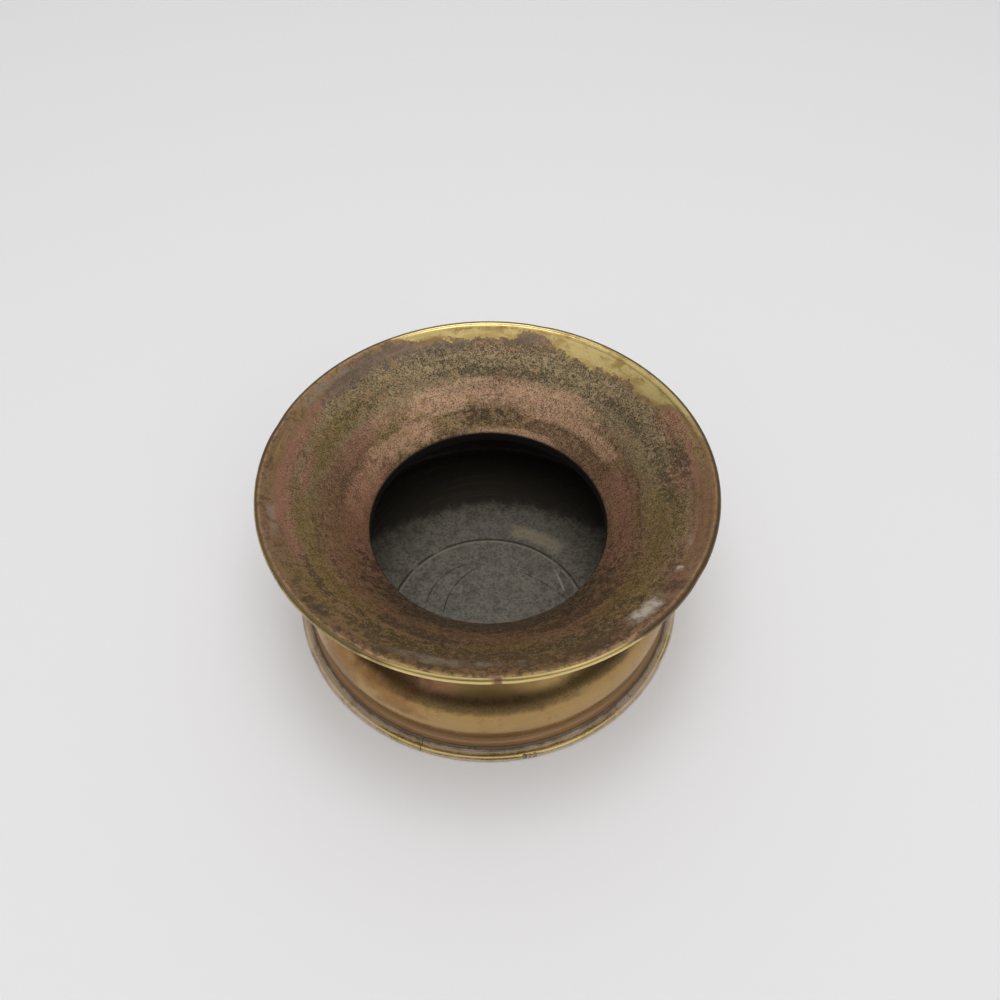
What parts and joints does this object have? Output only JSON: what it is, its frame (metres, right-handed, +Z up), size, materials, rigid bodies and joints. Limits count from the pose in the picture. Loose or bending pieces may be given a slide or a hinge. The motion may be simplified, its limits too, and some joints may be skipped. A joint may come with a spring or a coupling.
{
  "type": "spittoon",
  "caption": "Low spun-brass spittoon: wide flared mouth with a wired rolled rim, open throat, bellied bowl and weighted pan foot with a rolled edge.",
  "frame": {"origin": "on the axis, at the surface the spittoon stands on", "axes": "+Z up along the axis of the spinning, X and Y alike; the picture looks along +Y from above the front"},
  "size_m": [0.203, 0.203, 0.091],
  "materials": {
    "mouth_brass": "matt brown and pink patina, bare gold brass at the back of the rim",
    "bowl_brass": "old polish, soft reflections, tarnish in the coves",
    "pan_brass": "worn gold on the rolled foot, dull brown ledge, grey floor",
    "cover_brass": "dull dark brass, never polished",
    "wire": "plain iron wire, hidden in the rolled edges",
    "solder": "dull grey soft solder",
    "ballast_iron": "rough cast iron, hidden"
  },
  "bodies": {
    "root": {"funnel": "mouth_brass", "rim_wire": "wire", "throat_solder": "solder", "bowl_shell": "bowl_brass", "base_pan": "pan_brass", "foot_wire": "wire", "waist_solder": "solder", "ballast": "ballast_iron", "base_cover": "cover_brass", "cover_solder": "solder"}
  },
  "joints": []
}
